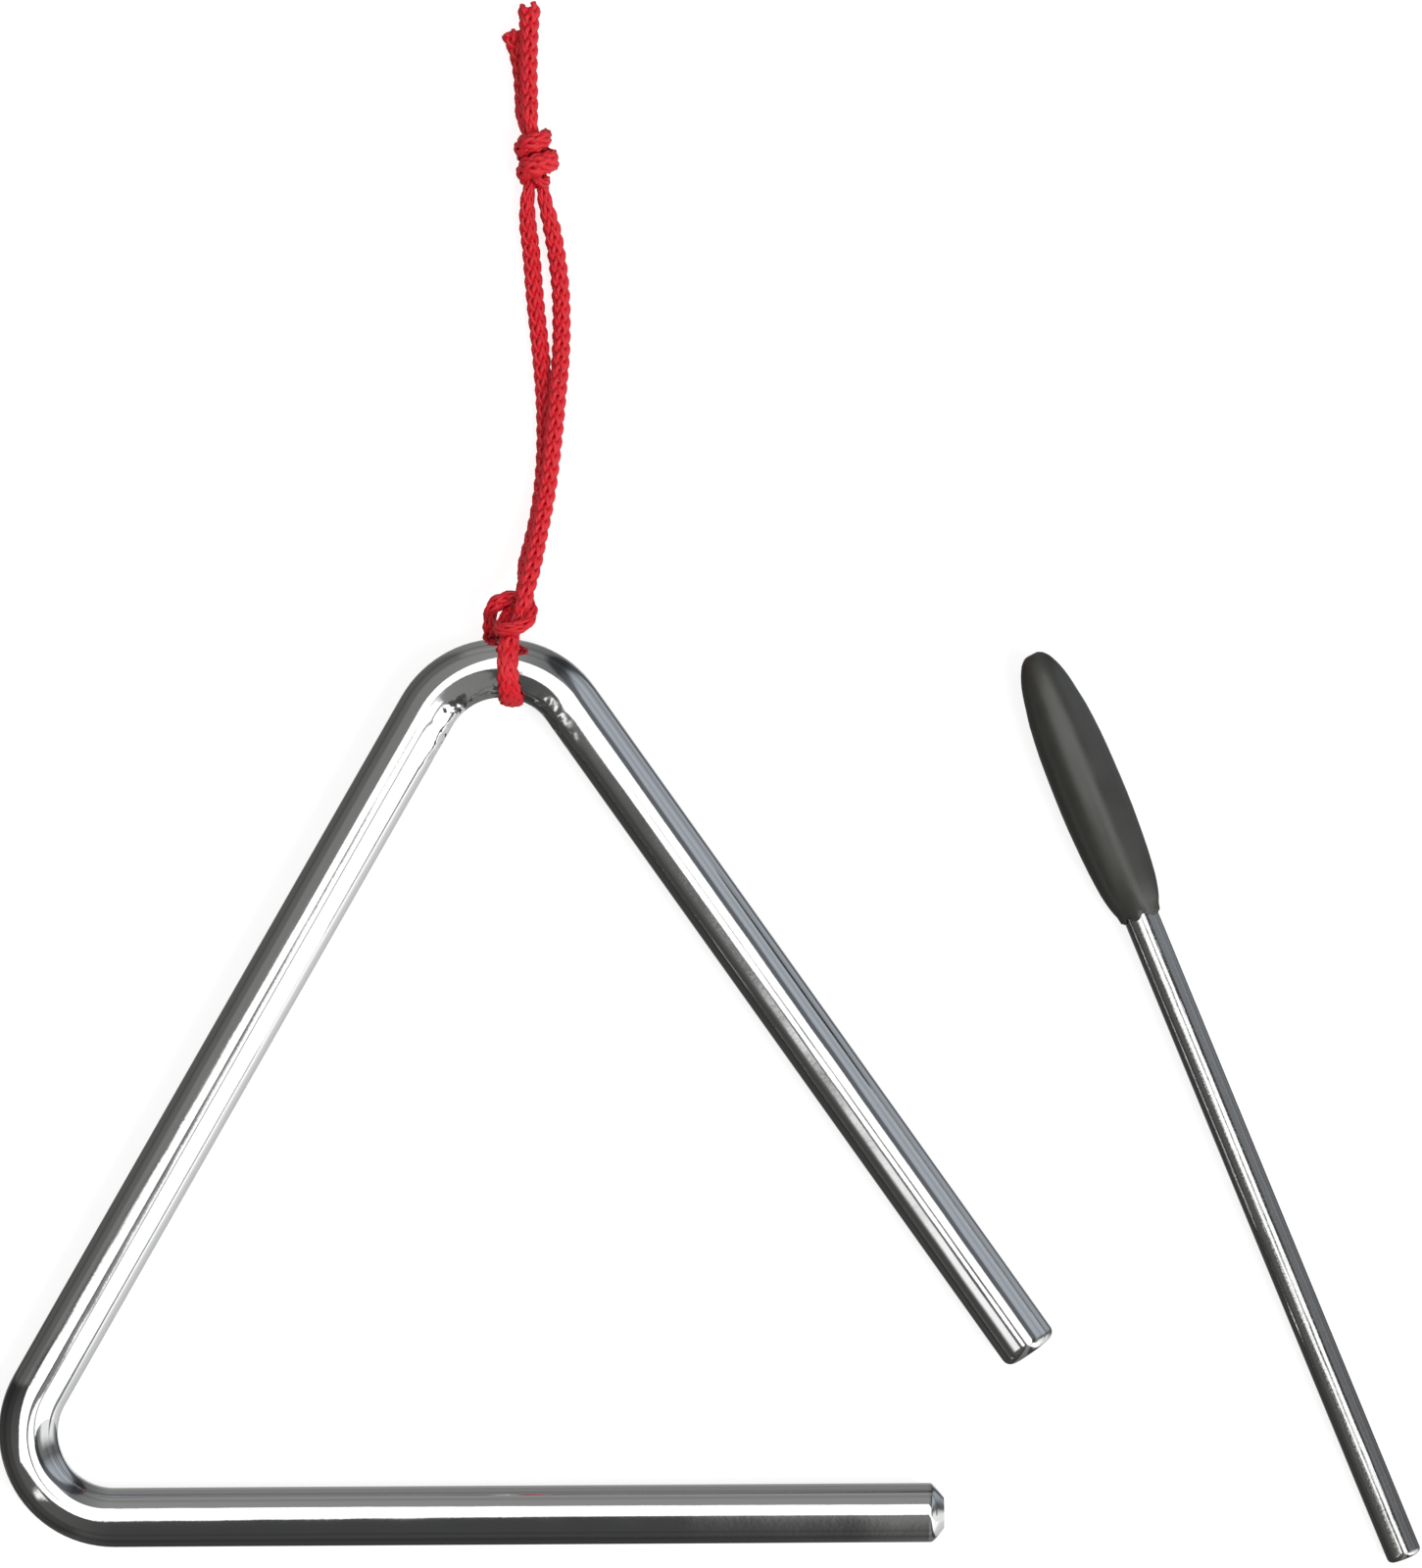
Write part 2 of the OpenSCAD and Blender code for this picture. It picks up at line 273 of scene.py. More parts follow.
def moulded_rubber(rgb):
    """Black synthetic rubber from a satin mould: soft broad shine, a fine grain, and dusty
    paler patches where it has been rubbed."""
    material, tree, shader = new_material("moulded_rubber")
    spot = add_node(tree, "ShaderNodeTexCoord", (-900, 0)).outputs["Object"]
    # Rubbed patches 6 mm across, and a grain of a guessed 0.45 mm
    bloom = add_node(tree, "ShaderNodeTexNoise", (-600, 200),
                     {"Vector": spot, "Scale": 160.0, "Detail": 5.0, "Roughness": 0.6})
    grain = add_node(tree, "ShaderNodeTexNoise", (-600, -150),
                     {"Vector": spot, "Scale": 2200.0, "Detail": 2.0})
    tint = add_node(tree, "ShaderNodeMix", (-200, 200),
                    {"Factor": bloom.outputs[0], "A": colour([c * 0.8 for c in rgb]),
                     "B": colour([c * 1.45 for c in rgb])}, data_type="RGBA")
    rough = add_node(tree, "ShaderNodeMapRange", (-200, -50),
                     {"Value": bloom.outputs[0], "From Min": 0.3, "From Max": 0.7,
                      "To Min": 0.27, "To Max": 0.38})
    skin = add_node(tree, "ShaderNodeBump", (200, -250),
                    {"Height": grain.outputs[0], "Strength": 0.35, "Distance": 0.00003})
    fill_inputs(tree, shader, {
        "Base Color": tint.outputs["Result"], "Roughness": rough.outputs[0],
        "Normal": skin.outputs[0], "IOR": 1.52, "Specular IOR Level": 0.85})
    return material


def polyester_yarn(rgb):
    """Dyed polyester filament yarn, knitted: each strand has a soft silky shine, with fine
    twisted filaments and a dye that takes a little unevenly."""
    material, tree, shader = new_material("polyester_yarn")
    strand = add_node(tree, "ShaderNodeUVMap", (-1100, 0), uv_map="strand").outputs[0]
    spot = add_node(tree, "ShaderNodeTexCoord", (-1100, -300)).outputs["Object"]
    # Filaments lie at a slant round the yarn, a guessed 0.2 mm apart
    slant = add_node(tree, "ShaderNodeMapping", (-900, 0),
                     {"Vector": strand, "Rotation": (0, 0, math.radians(32))})
    filament = add_node(tree, "ShaderNodeTexWave", (-600, 200),
                        {"Vector": slant.outputs[0], "Scale": 1600.0, "Distortion": 1.5,
                         "Detail": 2.0, "Detail Scale": 2.0})
    # Lighter and darker dye, changing over 1.4 mm
    dye = add_node(tree, "ShaderNodeTexNoise", (-600, -200),
                   {"Vector": spot, "Scale": 700.0, "Detail": 3.0})
    red, green, blue = rgb
    tint = add_node(tree, "ShaderNodeMix", (-200, 100),
                    {"Factor": dye.outputs[0],
                     "A": colour([red * 0.78, green * 0.6, blue * 0.6]),
                     "B": colour([min(1, red * 1.2), green * 1.6, blue * 1.6])},
                    data_type="RGBA")
    twist = add_node(tree, "ShaderNodeBump", (200, -200),
                     {"Height": filament.outputs["Fac"], "Strength": 0.3, "Distance": 0.00003})
    fill_inputs(tree, shader, {
        "Base Color": tint.outputs["Result"], "Normal": twist.outputs[0],
        "Roughness": 0.42, "IOR": 1.54, "Sheen Weight": 0.05, "Sheen Roughness": 0.4,
        "Sheen Tint": colour(linear("#ff8890"))})
    return material


# Turned and bent pieces, shaped in edit mode

def deselect_all():
    """Leaves edit mode, and leaves nothing selected."""
    if bpy.context.object and bpy.context.object.mode != "OBJECT":
        bpy.ops.object.mode_set(mode="OBJECT")
    bpy.ops.object.select_all(action="DESELECT")


def begin_disc(name, middle, way, radius):
    """A disc square to way, open in edit mode with all of it selected."""
    deselect_all()
    bpy.ops.mesh.primitive_circle_add(
        vertices=ROUND_SIDES, radius=radius, fill_type="NGON", location=middle,
        rotation=Vector(way).to_track_quat("Z", "Y").to_euler())
    disc = bpy.context.object
    disc.name = disc.data.name = name
    bpy.ops.object.transform_apply(location=True, rotation=True, scale=True)
    bpy.ops.object.mode_set(mode="EDIT")
    bpy.ops.mesh.select_all(action="SELECT")
    return disc


def push_out(step, middle, growth):
    """Extrudes the selected end by step, then scales the new end about its own middle."""
    bpy.ops.mesh.extrude_region_move(TRANSFORM_OT_translate={"value": step})
    if abs(growth - 1) > 1e-9:
        bpy.ops.transform.resize(value=(growth, growth, growth), center_override=middle)


def turn_rings(start, way, rings, radius_now):
    """Adds rings along a line: each is a distance from start and a radius."""
    place = Vector(start)
    for distance, radius in rings:
        middle = Vector(start) + Vector(way) * distance
        push_out(middle - place, middle, radius / radius_now)
        place, radius_now = middle, radius


def finish_turned():
    """Finishes the piece in edit mode: joins doubles, points faces outwards, shades it smooth."""
    bpy.ops.mesh.select_all(action="SELECT")
    bpy.ops.mesh.remove_doubles(threshold=1e-7)
    bpy.ops.mesh.normals_make_consistent(inside=False)
    bpy.ops.object.mode_set(mode="OBJECT")
    bpy.ops.object.shade_smooth_by_angle(angle=SHADING_CREASE)


def rounded_end(depth, inset, steps):
    """Rings of a rounded end: distance from the end face, and how far the ring is drawn in."""
    turns = [math.radians(90) * i / steps for i in range(steps + 1)]
    return [(depth * (1 - math.cos(a)), inset * (1 - math.sin(a))) for a in turns]


def toward(angle):
    """The level direction at an angle."""
    return Vector((math.cos(angle), math.sin(angle), 0))


def triangle_lines(sizes):
    """Middle line of the bent rod: its corners, bend centres and directions, lean included."""
    r, bend = sizes.thickness / 2, sizes.bend_radius
    base, top = sizes.base_angle, sizes.top_angle
    corner = sizes.closed_side * toward(base)
    closed_way, open_way = corner.normalized(), toward(base + top - math.pi)
    base_cut, top_cut = bend / math.tan(base / 2), bend / math.tan(top / 2)
    top_middle = corner + bend / math.sin(top / 2) * toward(base + math.pi + top / 2)
    base_middle = bend / math.sin(base / 2) * toward(base / 2)
    crown = top_middle + bend * Vector((math.sin(HITCH_TURN), math.cos(HITCH_TURN), 0))
    lean = math.asin((HITCH_Z * MM - r) / crown.y)
    lay = Matrix.Translation((*sizes.corner, r)) @ Matrix.Rotation(lean, 4, "X")
    return {
        "up": lay.to_3x3() @ Vector((0, 0, 1)),
        "base_end": lay @ Vector((sizes.base_side, 0, 0)),
        "base_stop": lay @ Vector((base_cut, 0, 0)),
        "base_middle": lay @ base_middle,
        "closed_start": lay @ (base_cut * closed_way),
        "closed_stop": lay @ (corner - top_cut * closed_way),
        "top_middle": lay @ top_middle,
        "open_start": lay @ (corner + top_cut * open_way),
        "open_end": lay @ (corner + sizes.open_side * open_way),
        "crown": lay @ crown,
    }


# Cord: the same route as the solid's, in millimetres

ROD_R = 5.0
CORD_D = 3.2
ROD_GAP = 0.25
FLOOR_GAP = 0.05
PINCH_T = 1.4
WRAP_R = ROD_R + ROD_GAP + PINCH_T / 2
# Place of the cord on the bend, as an angle from the bend's crown
HITCH_TURN = math.radians(4.8)
HITCH_Z = WRAP_R + PINCH_T / 2 + FLOOR_GAP
LIE_Z = CORD_D / 2 + FLOOR_GAP
TIGHT_D = 2.0
# Cord round the rod: angle from the near face towards the outer side, shift along it, width
WRAP_STEPS = [
    (35, 0.25, 3.8), (10, 0.1, 3.8), (-15, 0.15, 3.8), (-40, 0.35, 4), (-62, 0.55, 4.4),
    (-78, 0.68, 4.2), (-90, 0.7, 3.6), (-102, 0.65, 4.1), (-120, 0.4, 4.3), (-145, -0.2, 4),
    (-170, -1, 3.8), (-195, -1.8, 3.7), (-218, -2.3, 3.7), (-238, -2.6, 3.6),
]
# Half hitch: along the rod, out from its edge, up from its middle line, share of tight cord
HITCH_TURNS = [
    (-2.9, 1.9, -1.2, 1.5), (-3, 3.5, 0.2, 1.25), (-2.65, 5.1, 1.3, 1.3),
    (-1.5, 6.1, 1.7, 1.5), (0.1, 6.8, 1.4, 1.35), (1.9, 7, 1.2, 1.1), (3.4, 6.2, 1.8, 1.1),
    (4.05, 4.9, 3.1, 1.15), (3.8, 3.3, 4.8, 1.2), (2.7, 2.1, 6.3, 1.2), (0.9, 1.6, 6.9, 1.2),
    (-0.8, 1.5, 6.3, 1.15), (-1.2, 2, 4.6, 1.1), (-0.45, 3, 2.8, 1.25), (0.4, 4.4, 1, 1.4),
    (1.7, 6.1, -0.3, 1.45), (2.6, 7.8, -0.8, 1.5), (3.1, 9.6, -1.2, 1.55),
]
# Strands between rod and knot: across, out from the hitch, height over the lying cord, share
FRONT_STRAND = [
    (6.7, 79, 1.8, 0.8), (7.7, 75, 1, 0.97), (8.5, 70.5, 0.3, 1), (9.2, 64, 0, 1),
    (9.3, 57, 0.2, 1), (9.1, 52, 1, 1), (8.6, 46.5, 2.5, 1), (7.9, 39, 3.2, 1),
    (6.9, 31, 3.5, 1), (6.2, 27, 3.7, 1), (5.1, 21.5, 5.3, 1), (4.2, 17, 7.1, 1),
    (3.3, 13.5, 8.6, 0.98), (2.7, 10.6, 9.2, 0.94), (2.1, 8.6, 9, 0.86),
    (1.2, 6.6, 8.6, 0.95), (0.35, 5, 8.8, 1.1),
]
REAR_STRAND = [
    (3.1, 17, 2.5, 1), (4.2, 21.5, 1.2, 1), (5.4, 27, 0.3, 1), (6.3, 35, 0, 1),
    (6.4, 44, 0, 1), (5.8, 53, 0, 1), (4.9, 62, 0, 1), (4.2, 71, 0.1, 1),
    (3.7, 75.5, 0.9, 0.97), (3.7, 79.5, 1.7, 0.8),
]
# Knot: its middle across and out from the hitch, the thickness of the strands inside it and
# of the turns round them, and the gaps between them
KNOT_ACROSS, KNOT_OUT = 5.2, 86.5
CORE_D, TURN_T = 1.8, 1.5
CORE_GAP, TURN_GAP = 0.12, 0.3
KNOT_R = (CORE_D / 2 / math.cos(math.radians(30)) + CORE_GAP + CORE_D / 2 + TURN_GAP
          + TURN_T / 2)
KNOT_Z = KNOT_R + TURN_T / 2 + FLOOR_GAP
# How far apart the turns are, and how far out from the knot's middle they end
TURN_PITCH, TURN_TOP = 4, 3.5
# The two turns, the steps along them, and where they stop climbing, in degrees
KNOT_TURNS, TURN_STEP, CLIMB_STOP = 720, 40, 690
# The knot's turns press on one another, so they are fuller than the solid's: quarter turns
# from the last to the first, with their reach from the knot's middle and their width
PRESSED_T = 2.5
TURN_REACH = [1.5, 2.4, 2.6, 2.4, 2.85, 2.6, 2.2, 2.0, 1.3]
TURN_WIDTH = [2.9, 3.7, 4.0, 4.2, 3.9, 4.2, 4.0, 3.4, 2.6]
# Strands inside the knot, from its middle: across, out, up, thickness
TUCK = [
    (-1, 7, 1.7, 3), (-0.5, 4, 1.1, 2.2), (0, 0, 1.1, 1.8), (0, -3.2, 1.1, 1.7),
    (0.5, -4.2, 1.2, 1.7), (0.9, -4.4, 0.8, 1.9),
]
RISE = [(1.6, 4, -0.3, 2.3), (1.15, 4, -0.7, 2), (1, 3, -0.6, 1.8), (1, 0, -0.6, 1.8),
        (1, -4, -0.6, 2.2)]
THROUGH = [(-1, -4, -0.6, 2.2), (-1, 0, -0.6, 1.8), (-1.3, 4, -0.6, 2.3), (-2, 7, -1.2, 3)]
# Cut ends: across and out from the knot, height over the lying cord, share
MAIN_END = [(-0.98, 25.7, 1.7, 1.3), (-1, 23.5, 2.2, 1.14), (-1.02, 20, 2.8, 1.02),
            (-1.15, 14.5, 3.3, 1), (-1.05, 10, 3.2, 0.98)]
SHORT_END = [(-2.15, 10.5, 0, 0.98), (-2.45, 15, 0, 1), (-3.3, 19, 0.1, 1.06),
             (-4.3, 21.7, 0.35, 1.25)]
# Steps of the smooth line between two points of the route
SPAN_STEPS = 14
# Middle of the front strand, in percent of all steps
FRONT_MIDDLE = 47


def cord_rows(hitch):
    """The route's rows, in metres: place, width, thickness, and the cord's flat way across."""
    hx, hy, hz = (c / MM for c in hitch)
    kx, ky = hx + KNOT_ACROSS, hy + KNOT_OUT

    def strand(rows, x, y, flat):
        return [(x + a, y + b, LIE_Z + c, d * CORD_D, d * CORD_D, flat) for a, b, c, d in rows]

    def in_knot(rows):
        return [(kx + a, ky + b, KNOT_Z + c, d, d, 1) for a, b, c, d in rows]

    wrap = [(hx + shift, hy + WRAP_R * math.sin(math.radians(a)),
             hz + WRAP_R * math.cos(math.radians(a)), width, PINCH_T, 0)
            for a, shift, width in WRAP_STEPS]
    turns = [(hx + a, hy + ROD_R + b, hz + c, d * TIGHT_D, d * TIGHT_D, 0)
             for a, b, c, d in HITCH_TURNS]
    winding = []
    for a in range(KNOT_TURNS, -1, -TURN_STEP):
        reach, width = (np.interp(a / 90, range(len(quarters)), quarters)
                        for quarters in (TURN_REACH, TURN_WIDTH))
        winding.append((kx + reach * math.cos(math.radians(a)),
                        ky + TURN_TOP - TURN_PITCH * min(a, CLIMB_STOP) / 360,
                        KNOT_Z + reach * math.sin(math.radians(a)), width, PRESSED_T, 1))
    rows = (strand(MAIN_END, kx, ky, 1) + in_knot(TUCK) + winding + in_knot(RISE)
            + strand(FRONT_STRAND, hx, hy, 0) + wrap + turns + strand(REAR_STRAND, hx, hy, 0)
            + in_knot(THROUGH) + strand(SHORT_END, kx, ky, 1))
    return [[v * MM for v in row[:5]] + [row[5]] for row in rows]


def unit_rows(v):
    """The same directions, each of length one."""
    return v / np.maximum(np.linalg.norm(v, axis=-1, keepdims=True), 1e-12)


def smooth_rows(values):
    """A smooth curve through the rows (Catmull-Rom, spaced by the root of the distance)."""
    p = np.vstack([2 * values[0] - values[1], values, 2 * values[-1] - values[-2]])
    out = []
    for i in range(1, len(p) - 2):
        a, b, c, d = p[i - 1:i + 3]
        t1 = max(np.linalg.norm((b - a)[:3]), 1e-6) ** 0.5
        t2 = t1 + max(np.linalg.norm((c - b)[:3]), 1e-6) ** 0.5
        t3 = t2 + max(np.linalg.norm((d - c)[:3]), 1e-6) ** 0.5
        for t in np.linspace(t1, t2, SPAN_STEPS, endpoint=False):
            ab, bc = a + (b - a) * t / t1, b + (c - b) * (t - t1) / (t2 - t1)
            cd = c + (d - c) * (t - t2) / (t3 - t2)
            abc = ab + (bc - ab) * t / t2
            bcd = bc + (cd - bc) * (t - t1) / (t3 - t1)
            out.append(abc + (bcd - abc) * (t - t1) / (t2 - t1))
    return np.array(out + [values[-1]])


class CordLine:
    """The cord's middle line, with the shape of its section and a frame that never twists."""

    def __init__(self, rows):
        line = smooth_rows(np.array([row[:5] for row in rows]))
        self.place, self.wide, self.thick = line[:, :3], line[:, 3], line[:, 4]
        flat = [rows[min(i // SPAN_STEPS, len(rows) - 1)][5] for i in range(len(line))]
        steps = np.linalg.norm(np.diff(self.place, axis=0), axis=1)
        self.run = np.concatenate([[0], np.cumsum(steps)])
        self.way = unit_rows(np.gradient(self.place, self.run, axis=0))
        side = [np.array([1.0, 0, 0])]
        for t in self.way:
            s = side[-1] - side[-1].dot(t) * t
            side.append(s / np.linalg.norm(s))
        self.side = np.array(side[1:])
        self.other = np.cross(self.way, self.side)
        # A hair off the axes, so that the flat way across is never the cord's own direction
        axis = np.array([[1.0, 0, 0], [0, 1.0, 0]])[flat] + 1e-3
        self.broad = unit_rows(axis - (axis * self.way).sum(1)[:, None] * self.way)
        self.deep = np.cross(self.way, self.broad)
        # Angle round the cord at which a wale faces up in the middle of the front strand
        i = len(self.run) * FRONT_MIDDLE // 100
        self.facing = math.atan2(self.other[i, 2], self.side[i, 2])

    def at(self, run, array):
        """What array holds at that run along the cord; places carry on past both ends."""
        i = np.clip(np.searchsorted(self.run, run) - 1, 0, len(self.run) - 2)
        share = (run - self.run[i]) / (self.run[i + 1] - self.run[i])
        share = share if array is self.place else np.clip(share, 0, 1)
        if array.ndim > 1:
            share = share[..., None]
        return array[i] + (array[i + 1] - array[i]) * share

    def skin(self, run, angle, reach):
        """Places in the cord: run along it, angle round it, reach as a share of its radius."""
        way, side = unit_rows(self.at(run, self.way)), self.at(run, self.side)
        side = unit_rows(side - (side * way).sum(-1)[..., None] * way)
        other = np.cross(way, side)
        broad = self.at(run, self.broad)
        broad = unit_rows(broad - (broad * way).sum(-1)[..., None] * way)
        deep = np.cross(way, broad)
        d = np.cos(angle)[..., None] * side + np.sin(angle)[..., None] * other
        b = np.arctan2((d * deep).sum(-1), (d * broad).sum(-1))
        half_w, half_t = self.at(run, self.wide) / 2, self.at(run, self.thick) / 2
        return (self.at(run, self.place)
                + (reach * half_w * np.cos(b))[..., None] * broad
                + (reach * half_t * np.sin(b))[..., None] * deep)


# Yarns side by side, the sides of each, and the steps along one loop
YARNS = 2
YARN_SIDES = 8
STITCH_STEPS = 16
# Loops past the cord's first and last end, which the cut takes off
SPARE_LOOPS = (4, 6)
# How far a loop sways to each side, as an angle of its own turn, and its height in stitches
LOOP_SWAY, LOOP_HEIGHT = 1.8, 0.62
# How much the yarn swells in a stitch's legs and thins at its two ends
YARN_SWELL = 0.14
# Depth of a stitch: its legs stand out of the cord, its narrow end and its head lie deep
LEG_RISE, POINT_SINK, LEG_GAP = 0.30 * MM, 0.20 * MM, 0.03 * MM
# How strongly a narrow cord draws its stitches out, and the least and most of it
PULL_POWER, PULL_LEAST, PULL_MOST = 0.8, 0.9, 1.5
# Shortest piece of cut yarn that is kept, in rings, and the cord's least height on the table
STUB_RINGS = 4
TABLE_GAP = 0.02 * MM


def tube_faces(rings, sides, first):
    """Faces of a closed tube whose rings follow one another from vertex number first."""
    faces = []
    for i in range(rings - 1):
        for k in range(sides):
            a, b = first + i * sides + k, first + i * sides + (k + 1) % sides
            faces.append((a, b, b + sides, a + sides))
    faces.append(tuple(first + k for k in reversed(range(sides))))
    faces.append(tuple(first + (rings - 1) * sides + k for k in range(sides)))
    return faces


def yarn_tube(middle, radius):
    """Ring places of a round yarn along middle, in the straight cord's own space."""
    way = unit_rows(np.gradient(middle, axis=0))
    outward = unit_rows(middle * (1, 1, 0))
    first = unit_rows(outward - (outward * way).sum(1)[:, None] * way)
    second = np.cross(way, first)
    turn = np.arange(YARN_SIDES) * 2 * math.pi / YARN_SIDES
    return (middle[:, None, :] + np.asarray(radius).reshape(-1, 1, 1)
            * (np.cos(turn)[None, :, None] * first[:, None, :]
               + np.sin(turn)[None, :, None] * second[:, None, :]))


def cut_ends(angle, wales):
    """How far inside each end the knitting is cut, round the cord, for its two ends: each wale
    stands out as a prong, and the first end is cut a little askew."""
    prongs = 0.45 * np.cos(wales * angle)
    return (0.1 - prongs + 0.15 * np.sin(3 * angle)) * MM, (0.3 - prongs) * MM


def knit(sizes, length, facing):
    """Yarns knitted side by side into a straight, loose tube of that length, cut at both ends:
    its points, its faces, and where each point is on its yarn."""
    yarn = sizes.yarn / 2
    legs_at = sizes.thickness / 2 - yarn - (LEG_RISE + LEG_GAP)
    # Each loop goes on to the next wale, and one turn climbs a stitch for each yarn
    sway = 2 * math.pi / sizes.wales
    rise = YARNS * sizes.stitch / sizes.wales
    loops = np.array([-SPARE_LOOPS[0], int(length / rise) + SPARE_LOOPS[1]])
    t = np.arange(*(loops * STITCH_STEPS)) * 2 * math.pi / STITCH_STEPS
    angle = sway * (t + LOOP_SWAY * np.sin(2 * t)) / (2 * math.pi) + facing
    out = legs_at + (POINT_SINK * np.cos(t) - LEG_RISE * np.cos(2 * t))
    near, far = cut_ends(angle, sizes.wales)
    around = np.arange(YARN_SIDES) * yarn * 2 * math.pi / YARN_SIDES
    places, faces, strand_uv, count = [], [], [], 0
    for number in range(YARNS):
        run = (rise * t / (2 * math.pi) + number * sizes.stitch
               + LOOP_HEIGHT * sizes.stitch * np.cos(t))
        middle = np.stack([out * np.cos(angle), out * np.sin(angle), run], 1)
        rings = yarn_tube(middle, yarn * (1 - YARN_SWELL * np.cos(2 * t)))
        along = np.cumsum(np.linalg.norm(np.diff(middle, axis=0, prepend=middle[:1]), axis=1))
        kept = (run > near) & (run < length - far)
        edges = np.flatnonzero(np.diff(np.concatenate([[0], kept, [0]])))
        for start, stop in zip(edges[::2], edges[1::2]):
            if stop - start < STUB_RINGS:
                continue
            faces += tube_faces(stop - start, YARN_SIDES, count)
            count += (stop - start) * YARN_SIDES
            places.append(rings[start:stop].reshape(-1, 3))
            strand_uv.append(np.stack([np.repeat(along[start:stop], YARN_SIDES),
                                       np.tile(around, stop - start)], 1))
    return np.vstack(places), faces, np.vstack(strand_uv)


def knitted_mesh(sizes, line):
    """The knitted tube laid along the cord's line."""
    # A flattened cord keeps its stitches; one that is narrower all round has them drawn out
    girth = np.sqrt((line.wide ** 2 + line.thick ** 2) / 2)
    pull = np.clip((sizes.thickness / girth) ** PULL_POWER, PULL_LEAST, PULL_MOST)
    # Length of loose knitting up to each place: drawn tight, the same stitches reach further
    loose = np.concatenate([[0], np.cumsum(np.diff(line.run) / ((pull[1:] + pull[:-1]) / 2))])
    straight, faces, strand_uv = knit(sizes, loose[-1], line.facing)
    x, y, z = straight.T
    run = np.interp(z, loose, line.run)
    run = np.where(z < 0, z, run)
    run = np.where(z > loose[-1], line.run[-1] + z - loose[-1], run)
    laid = line.skin(run, np.arctan2(y, x), np.hypot(x, y) / (sizes.thickness / 2))
    laid[:, 2] = np.maximum(laid[:, 2], TABLE_GAP)
    return laid, faces, strand_uv


# Studio as the rods mirror it

class StudioShapes:
    """Shapes of light and shade round the pieces, by the direction in which they lie."""

    def __init__(self, tree):
        self.tree = tree
        self.rows = itertools.count()
        self.way = self.add("ShaderNodeTexCoord", 0).outputs["Generated"]
        self.height = self.add("ShaderNodeSeparateXYZ", 1, {0: self.way}).outputs[2]
        flat = self.add("ShaderNodeVectorMath", 1, {0: self.way, 1: (1, 1, 0)},
                        operation="MULTIPLY").outputs[0]
        self.flat = self.add("ShaderNodeVectorMath", 2, {0: flat},
                             operation="NORMALIZE").outputs[0]

    def add(self, kind, column, inputs=None, **settings):
        """A node in the next free row of a column of the node editor."""
        place = (column * 200 - 2200, 600 - 60 * next(self.rows))
        return add_node(self.tree, kind, place, inputs, **settings)

    def joined(self, operation, *values):
        """The values taken together, one after another."""
        total = values[0]
        for value in values[1:]:
            total = self.add("ShaderNodeMath", 3, {0: total, 1: value},
                             operation=operation).outputs[0]
        return total

    def edge(self, x, y, offset):
        """How far a direction is past a straight edge, by its level parts."""
        dot = self.add("ShaderNodeVectorMath", 1, {0: self.way, 1: (x, y, 0)},
                       operation="DOT_PRODUCT").outputs["Value"]
        return self.joined("ADD", dot, offset)

    def facing(self, x, y):
        """One straight towards x and y, seen from above, and minus one straight away."""
        return self.add("ShaderNodeVectorMath", 3, {0: self.flat, 1: (x, y, 0)},
                        operation="DOT_PRODUCT").outputs["Value"]

    def away(self, value, middle):
        """How far a value is from the middle, on either side."""
        return self.joined("MAXIMUM", self.joined("SUBTRACT", value, middle),
                           self.joined("SUBTRACT", middle, value))

    def fade(self, value, low, high, to_low=0.0, to_high=1.0, curve="SMOOTHSTEP"):
        """Goes from to_low to to_high as value goes from low to high."""
        return self.add("ShaderNodeMapRange", 5,
                        {"Value": value, "From Min": low, "From Max": high,
                         "To Min": to_low, "To Max": to_high},
                        interpolation_type=curve).outputs[0]

    def bar(self, value, middle, half, level):
        """A thin line across: level in its middle, one outside."""
        return self.fade(self.away(value, middle), half * 0.4, half, level, 1.0)


def window_shape(studio, right):
    """Above zero in the window, which lies inside all its edges: right and lower right, upper
    right, upper left, lower left with the wing beyond it, and far left."""
    edge, joined = studio.edge, studio.joined
    wing = joined("MINIMUM", edge(-0.95, 0.313, -0.01), edge(0, 1, 0.27),
                  joined("MAXIMUM", edge(0.951, 0.309, 0.53), edge(0.782, -0.623, 0.348)))
    return joined("MINIMUM",
                  joined("MAXIMUM", right, edge(-0.495, -0.869, 0.186)),
                  edge(-0.535, -0.845, 0.52),
                  joined("MAXIMUM", edge(0.8, -0.6, 0.43), edge(-0.283, -0.959, 0.04)),
                  joined("MAXIMUM", edge(0.67, 0.74, 0.03), wing),
                  edge(1, 0, 0.78))


def studio_glow(studio, right):
    """Share of full light: the window, a bright slit and a pale wall."""
    edge, fade, bar, joined = studio.edge, studio.fade, studio.bar, studio.joined
    height = studio.height
    low = fade(height, -0.6, -0.1)
    # The window with a bar of its frame, its sill, and what the pale table sends back below
    run = edge(0.866, -0.5, 0.0)
    window = joined("MULTIPLY", fade(window_shape(studio, right), -0.012, 0.012),
                    bar(run, 0.445, 0.05, 0.15), bar(height, -0.1, 0.08, 0.6),
                    joined("MAXIMUM", low, fade(run, -0.3, 0.3, 0.07, 0.4)))
    # The slit, to the lower left
    slit = joined("MULTIPLY",
                  fade(studio.away(edge(-0.576, 0.818, 0.08), 0.0), 0.005, 0.055, 0.8, 0.0),
                  fade(edge(-1, 0, -0.34), 0.0, 0.05), fade(edge(1, 0, 0.7), 0.0, 0.12), low)
    # The pale wall on the right, between the table and the ceiling
    pale = joined("MULTIPLY", fade(studio.facing(0.94, -0.342), 0.88, 0.98, 0.0, 0.6),
                  fade(height, -0.7, -0.3), fade(height, 0.5, 0.7, 1.0, 0.0))
    return joined("MAXIMUM", window, slit, pale)


